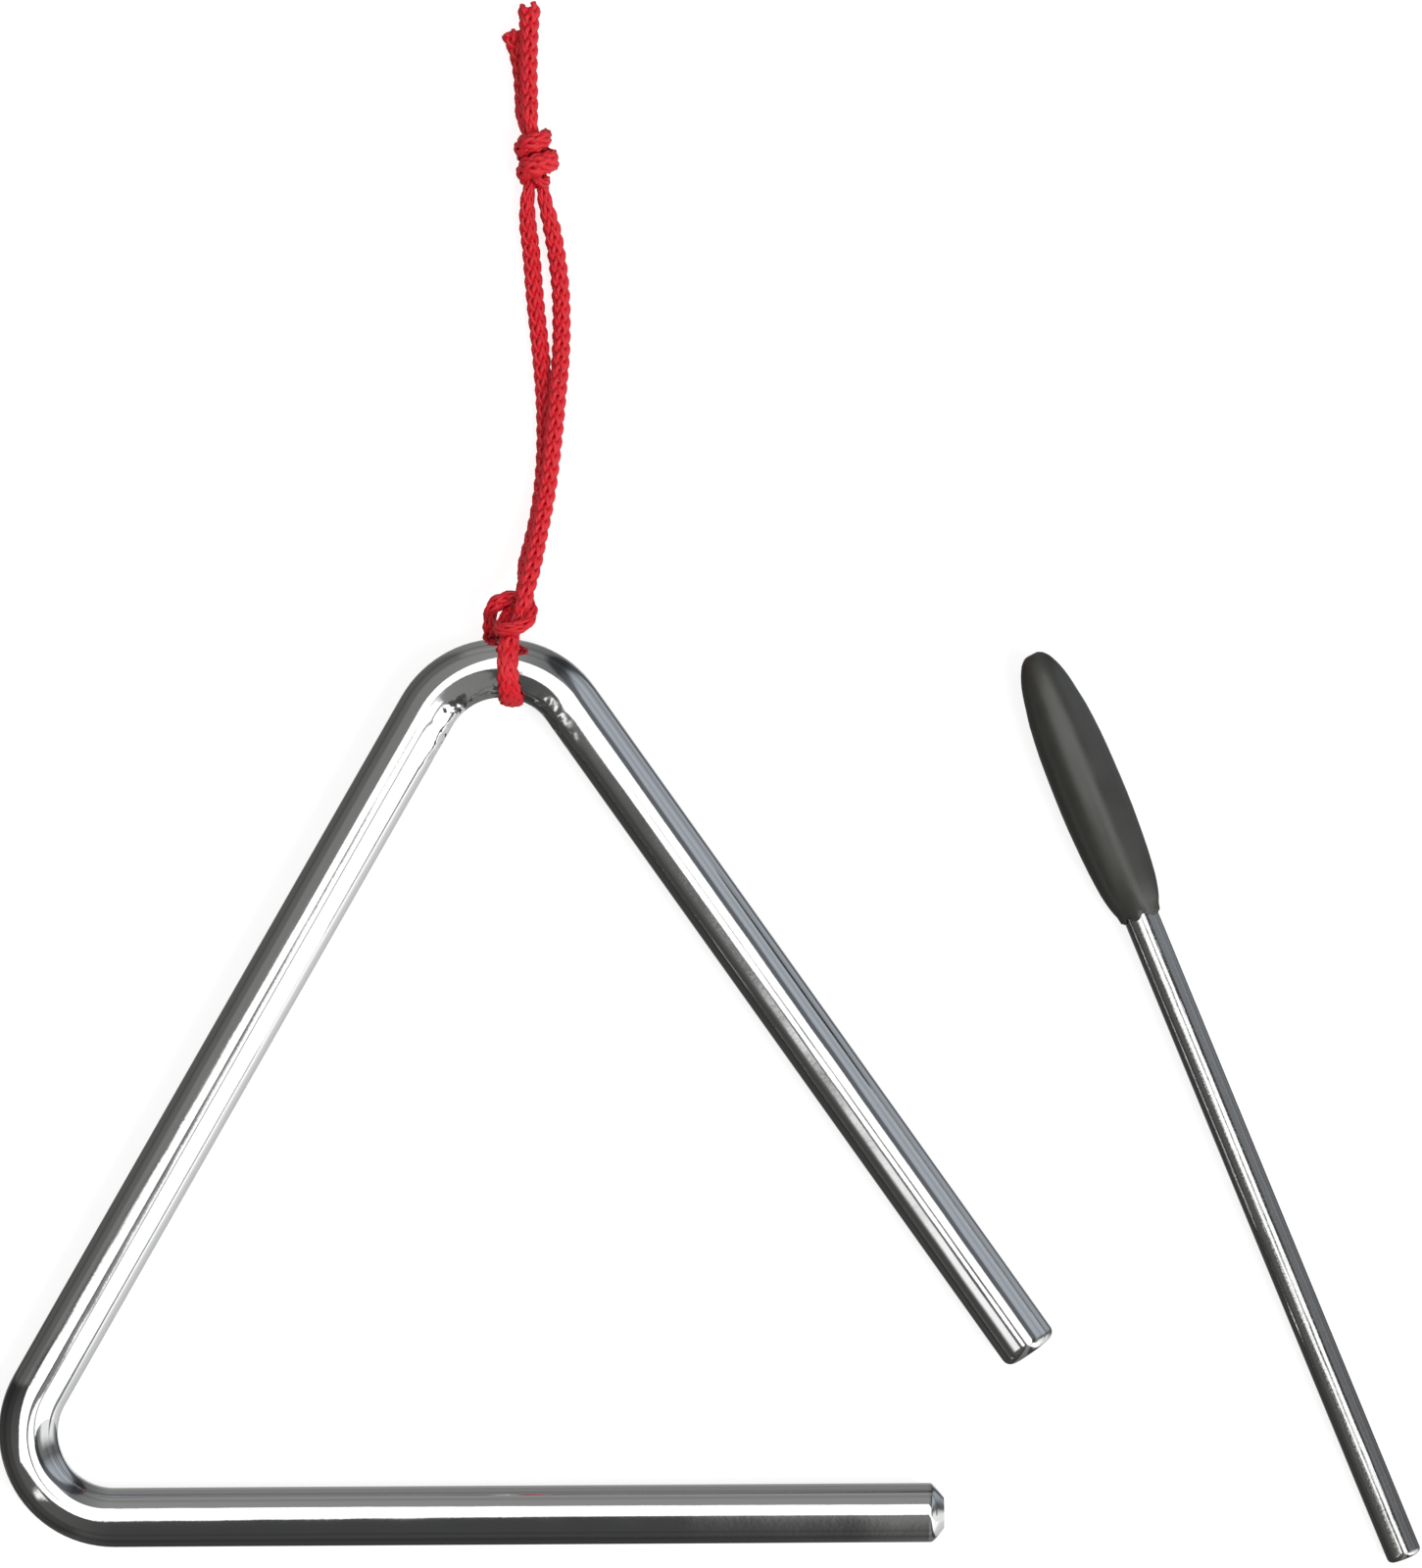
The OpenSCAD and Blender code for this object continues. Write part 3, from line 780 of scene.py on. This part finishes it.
def studio_walls(studio, right):
    """Shade of the walls: from the south west to the north east, black cloth, grey walls, a
    darker strip, and blue-grey daylight."""
    edge, fade, bar, joined = studio.edge, studio.fade, studio.bar, studio.joined
    height = studio.height
    walls = studio.add("ShaderNodeValToRGB", 7,
                       {0: fade(studio.facing(0.819, 0.574), -1.0, 1.0, curve="LINEAR")})
    walls.color_ramp.elements[0].color = (0.09, 0.088, 0.084, 1)
    walls.color_ramp.elements[1].color = (0.37, 0.395, 0.43, 1)
    for position, shade in ((0.18, (0.05, 0.05, 0.05)), (0.217, (0.05, 0.05, 0.05)),
                            (0.235, (0.18, 0.18, 0.17)), (0.5, (0.20, 0.20, 0.19)),
                            (0.79, (0.25, 0.25, 0.245)), (0.97, (0.14, 0.14, 0.145)),
                            (0.994, (0.35, 0.375, 0.41))):
        walls.color_ramp.elements.new(position).color = (*shade, 1)
    # Dark edge beside the window on the right, the walls' foot, their light line at eye
    # height, and the walls lighter high up and, in the west, darker low down
    level = joined("MULTIPLY", bar(right, -0.11, 0.16, 0.3), bar(height, -0.24, 0.09, 0.7),
                   bar(height, 0.12, 0.17, 1.25),
                   joined("MAXIMUM", fade(height, 0.2, 0.5, 0.62, 1.25),
                          fade(edge(1, 0, 0), -0.6, -0.3)))
    return studio.add("ShaderNodeVectorMath", 9, {0: walls.outputs[0], "Scale": level},
                      operation="SCALE").outputs[0]


# Operators: one for the stage and one for each piece

class StageOperator(bpy.types.Operator):
    """Place the camera, the lights and the pale floor"""
    bl_idname = "triangle.stage"
    bl_label = "Stage"

    # Side of the square floor
    FLOOR_SIZE = 6
    # Name, place, size and power of each lamp
    LAMPS = [("softbox", (0.9, -0.5, 1.5), 0.9, 26.0), ("fill", (-0.8, 1.0, 1.6), 1.4, 9.0)]

    def execute(self, context):
        scene, sizes = context.scene, context.scene.triangle_studio
        deselect_all()
        camera_data = bpy.data.cameras.new("camera")
        camera = bpy.data.objects.new("camera", camera_data)
        scene.collection.objects.link(camera)
        camera.location = Vector(sizes.aim) + Vector((0, 0, sizes.camera_height))
        camera.rotation_euler = (0, 0, sizes.camera_turn)
        # The picture's height is its longer side, and the sensor's width goes with that
        camera_data.lens = camera_data.sensor_width * sizes.camera_height / sizes.picture_height
        camera_data.clip_end = 20
        scene.camera = camera
        scene.view_settings.view_transform = "Standard"
        self.add_floor(sizes)
        self.add_lights(scene)
        self.add_surroundings(scene)
        return {"FINISHED"}

    def add_floor(self, sizes):
        """The pale board under the pieces."""
        bpy.ops.mesh.primitive_plane_add(size=self.FLOOR_SIZE)
        floor = bpy.context.object
        floor.name = "floor"
        material, tree, shader = new_material("floor_board")
        # Most of the board's light is its own, so it stays pale and takes only faint shadows
        fill_inputs(tree, shader, {
            "Base Color": colour([c * 0.32 for c in sizes.floor]), "Roughness": 0.9,
            "Specular IOR Level": 0.0, "Emission Color": colour(linear("#ffffff")),
            "Emission Strength": 0.8})
        floor.data.materials.append(material)
        # The rods mirror the dark and bright sides of the studio, not the lit board
        floor.visible_glossy = False

    def add_lights(self, scene):
        """Soft lamps that the rods don't mirror."""
        for name, place, size, watts in self.LAMPS:
            data = bpy.data.lights.new(name, "AREA")
            data.shape, data.size, data.energy = "SQUARE", size, watts
            lamp = bpy.data.objects.new(name, data)
            lamp.location = place
            lamp.rotation_euler = (-Vector(place)).to_track_quat("-Z", "Y").to_euler()
            scene.collection.objects.link(lamp)
            lamp.visible_glossy = False

    def add_surroundings(self, scene):
        """Studio as the rods mirror it: a wide window overhead with a wing to its lower left,
        black cloth to the south west, grey walls, a pale wall on the right, and blue-grey
        daylight from the north east."""
        world = bpy.data.worlds.new("studio")
        scene.world = world
        world.use_nodes = True
        world.node_tree.nodes.clear()
        studio = StudioShapes(world.node_tree)
        right = studio.edge(-1, 0, 0.415)
        light = studio.add("ShaderNodeMix", 10, {
            "Factor": studio_glow(studio, right), "A": studio_walls(studio, right),
            "B": (1.5, 1.5, 1.48, 1)}, data_type="RGBA")
        back = studio.add("ShaderNodeBackground", 11,
                          {"Color": light.outputs["Result"], "Strength": 1.0})
        studio.add("ShaderNodeOutputWorld", 12, {"Surface": back.outputs[0]})


class CordOperator(bpy.types.Operator):
    """Knit the cord along its route: round the bend, half hitch, knot and two cut ends"""
    bl_idname = "triangle.cord"
    bl_label = "Cord"

    def execute(self, context):
        sizes = context.scene.triangle_cord
        hitch = triangle_lines(context.scene.triangle_rod)["crown"]
        line = CordLine(cord_rows(hitch))
        places, faces, strand_uv = knitted_mesh(sizes, line)
        mesh = bpy.data.meshes.new("knitted_cord")
        mesh.from_pydata(places.tolist(), [], faces)
        mesh.shade_smooth()
        layer = mesh.uv_layers.new(name="strand")
        index = np.empty(len(mesh.loops), dtype=np.int32)
        mesh.loops.foreach_get("vertex_index", index)
        layer.data.foreach_set("uv", strand_uv[index].astype(np.float32).ravel())
        cord = bpy.data.objects.new("knitted_cord", mesh)
        context.scene.collection.objects.link(cord)
        cord.data.materials.append(polyester_yarn(sizes.dye))
        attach(cord, "cord")
        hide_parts("cord")
        path = [tuple(p) for p in line.place[::2]]
        return {"FINISHED"}


class BentRodOperator(bpy.types.Operator):
    """Bend the triangle from one straight round rod"""
    bl_idname = "triangle.bent_rod"
    bl_label = "Bent rod"

    # The base's end is ground to a taper: distance from the end face, and how far drawn in
    TAPER = [(0, 2.35 * MM), (0.9 * MM, 1.2 * MM), (1.5 * MM, 0.5 * MM), (1.95 * MM, 0.12 * MM),
             (2.25 * MM, 0)]
    # The open side's end is rounded: how deep, how far drawn in, and in how many steps
    ROUNDING = (1.6 * MM, 1.5 * MM, 6)

    def execute(self, context):
        sizes = context.scene.triangle_rod
        line = triangle_lines(sizes)
        r = sizes.thickness / 2
        base_way = (line["base_stop"] - line["base_end"]).normalized()
        open_way = (line["open_end"] - line["open_start"]).normalized()
        base_length = (line["base_stop"] - line["base_end"]).length
        rod = begin_disc("triangle", line["base_end"], base_way, r - self.TAPER[0][1])
        turn_rings(line["base_end"], base_way,
                   [(d, r - inset) for d, inset in self.TAPER[1:]]
                   + [(self.TAPER[-1][0] + GUARD, r), (base_length - GUARD, r), (base_length, r)],
                   r - self.TAPER[0][1])
        bpy.ops.mesh.spin(steps=BEND_STEPS, angle=math.pi - sizes.base_angle,
                          center=line["base_middle"], axis=line["up"])
        closed = line["closed_stop"] - line["closed_start"]
        turn_rings(line["closed_start"], closed.normalized(),
                   [(GUARD, r), (closed.length - GUARD, r), (closed.length, r)], r)
        bpy.ops.mesh.spin(steps=BEND_STEPS, angle=math.pi - sizes.top_angle,
                          center=line["top_middle"], axis=line["up"])
        last = rounded_end(*self.ROUNDING)[::-1]
        full = (line["open_end"] - line["open_start"]).length
        turn_rings(line["open_start"], open_way, [(GUARD, r), (full - last[0][0] - GUARD, r)]
                   + [(full - d, r - inset) for d, inset in last], r)
        finish_turned()
        rod.data.materials.append(chromed_steel(
            sizes.plating, line["top_middle"], sizes.bend_radius - r))
        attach(rod, "triangle")
        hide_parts("triangle_rod")
        return {"FINISHED"}


# Rubber between the grip's tip and the rod in its bore, and the chamfer of the rod's end
NOSE, CHAMFER = 9 * MM, 0.9 * MM
# Where the grip is thickest, as a share of its length from the tip
BELLY = 0.571


def striker_line(sizes):
    """Place of the tip and direction of the striker, as it lies on the table."""
    r, grip_r = sizes.rod_thickness / 2, sizes.grip_thickness / 2
    belly = BELLY * sizes.grip_length
    lean = math.asin((grip_r - r) / (sizes.length - CHAMFER - belly))
    height = grip_r / math.cos(lean) + belly * math.sin(lean)
    turn = Matrix.Rotation(sizes.direction, 3, "Z") @ Matrix.Rotation(lean, 3, "Y")
    return Vector((*sizes.tip, height)), turn @ Vector((1, 0, 0))


class StrikerRodOperator(bpy.types.Operator):
    """Turn the striker's straight rod with its chamfered end"""
    bl_idname = "triangle.striker_rod"
    bl_label = "Striker rod"

    def execute(self, context):
        sizes = context.scene.triangle_striker
        tip, way = striker_line(sizes)
        r = sizes.rod_thickness / 2
        start = tip + way * NOSE
        full = sizes.length - NOSE
        rod = begin_disc("striker_rod", start, way, r)
        last = rounded_end(CHAMFER, CHAMFER, 4)[::-1]
        turn_rings(start, way, [(full - CHAMFER - GUARD, r), (full - CHAMFER, r)]
                   + [(full - d, r - inset) for d, inset in last[1:]], r)
        finish_turned()
        rod.data.materials.append(zinc_plated_rod(sizes.plating, sizes.direction))
        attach(rod, "beater")
        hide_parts("beater_rod")
        return {"FINISHED"}


class GripOperator(bpy.types.Operator):
    """Mould the rubber grip with its bore, its blunt tip and the torn lip at its mouth"""
    bl_idname = "triangle.grip"
    bl_label = "Rubber grip"

    # Shares of the length from the tip and of the largest radius
    OUTLINE = [
        (0, 0.14), (0.002, 0.22), (0.006, 0.29), (0.013, 0.35), (0.024, 0.43), (0.04, 0.5),
        (0.057, 0.565), (0.075, 0.62), (0.097, 0.675), (0.12, 0.72), (0.147, 0.763),
        (0.175, 0.8), (0.204, 0.843), (0.233, 0.88), (0.29, 0.926), (0.347, 0.96),
        (0.403, 0.979), (0.46, 0.99), (0.516, 0.997), (BELLY, 1), (0.63, 0.993),
        (0.687, 0.975), (0.743, 0.953), (0.798, 0.923), (0.842, 0.89), (0.885, 0.85),
        (0.915, 0.807), (0.945, 0.75), (0.965, 0.7), (0.98, 0.65), (0.992, 0.61), (1, 0.585),
    ]
    # Lip round the mouth: distance past the end, and out from the bore
    MOUTH = [(0, 0.18 * MM), (0.25 * MM, 0.1 * MM), (0.25 * MM, 0), (-2 * MM, 0)]
    BORE_GAP = 0.02 * MM
    # Torn lip: angle round the mouth, and how many millimetres it is pulled along the rod
    TORN = [(15, 0.4), (45, -0.35), (72, 0.45), (96, -0.4), (120, 0.3), (148, 0.5), (178, -0.25),
            (215, 0.4), (260, -0.4), (320, 0.3)]
    # The lip is pulled this far out from the bore, within this reach, and flares by this share
    LIP_OUT, LIP_REACH, FLARE = 0.35 * MM, 0.75 * MM, 0.3
    # The tip's flat end stands a little proud on one side
    TIP_STEP, TIP_REACH = 0.12 * MM, 0.4 * MM
    PULL_FADE = 0.8 * MM

    def pull(self, grip, near, reach, step):
        """Moves the rubber about a place, fading out with distance."""
        bpy.ops.mesh.select_all(action="DESELECT")
        mesh = bmesh.from_edit_mesh(grip.data)
        for vertex in mesh.verts:
            vertex.select = (vertex.co - near).length < reach
        mesh.select_flush_mode()
        bmesh.update_edit_mesh(grip.data)
        bpy.ops.transform.translate(
            value=step, use_proportional_edit=True, proportional_edit_falloff="SMOOTH",
            proportional_size=self.PULL_FADE)

    def execute(self, context):
        sizes = context.scene.triangle_striker
        tip, way = striker_line(sizes)
        grip_r, length = sizes.grip_thickness / 2, sizes.grip_length
        bore = sizes.rod_thickness / 2 + self.BORE_GAP
        start_r = self.OUTLINE[0][1] * grip_r
        grip = begin_disc("rubber_grip", tip, way, start_r)
        rings = [(share * length, reach * grip_r) for share, reach in self.OUTLINE[1:]]
        rings += [(length + past, bore + out) for past, out in self.MOUTH] + [(NOSE, bore)]
        turn_rings(tip, way, rings, start_r)
        across = way.cross((0, 0, 1)).normalized()
        up = across.cross(way)
        self.pull(grip, tip - across * start_r, self.TIP_REACH, -way * self.TIP_STEP)
        for angle, step in self.TORN:
            around = math.cos(math.radians(angle)) * across + math.sin(math.radians(angle)) * up
            self.pull(grip, tip + way * length + around * (bore + self.LIP_OUT), self.LIP_REACH,
                      way * step * MM + around * abs(step) * self.FLARE * MM)
        finish_turned()
        grip.data.materials.append(moulded_rubber(sizes.rubber))
        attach(grip, "beater")
        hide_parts("beater_grip")
        return {"FINISHED"}


class TrianglePanel(bpy.types.Panel):
    """Lists the pieces in the order in which they are made"""
    bl_idname = "VIEW3D_PT_triangle"
    bl_label = "Triangle"
    bl_space_type = "VIEW_3D"
    bl_region_type = "UI"
    bl_category = "Triangle"

    def draw(self, context):
        for group in GROUPS:
            box = self.layout.box()
            settings = getattr(context.scene, group)
            for name in settings.__annotations__:
                box.prop(settings, name)
        for operator in OPERATORS:
            self.layout.operator(operator.bl_idname)


OPERATORS = (StageOperator, CordOperator, BentRodOperator, StrikerRodOperator, GripOperator)
GROUPS = {
    "triangle_studio": StudioSizes, "triangle_cord": CordSizes,
    "triangle_rod": RodSizes, "triangle_striker": StrikerSizes,
}


def register():
    for kind in (*GROUPS.values(), *OPERATORS, TrianglePanel):
        bpy.utils.register_class(kind)
    for name, group in GROUPS.items():
        setattr(bpy.types.Scene, name, PointerProperty(type=group))


def unregister():
    for name in GROUPS:
        delattr(bpy.types.Scene, name)
    for kind in reversed((*GROUPS.values(), *OPERATORS, TrianglePanel)):
        bpy.utils.unregister_class(kind)


def main():
    """Makes the stage and the pieces in order."""
    register()
    bpy.ops.triangle.stage()
    bpy.ops.triangle.cord()
    bpy.ops.triangle.bent_rod()
    bpy.ops.triangle.striker_rod()
    bpy.ops.triangle.grip()


if __name__ == "__main__":
    main()
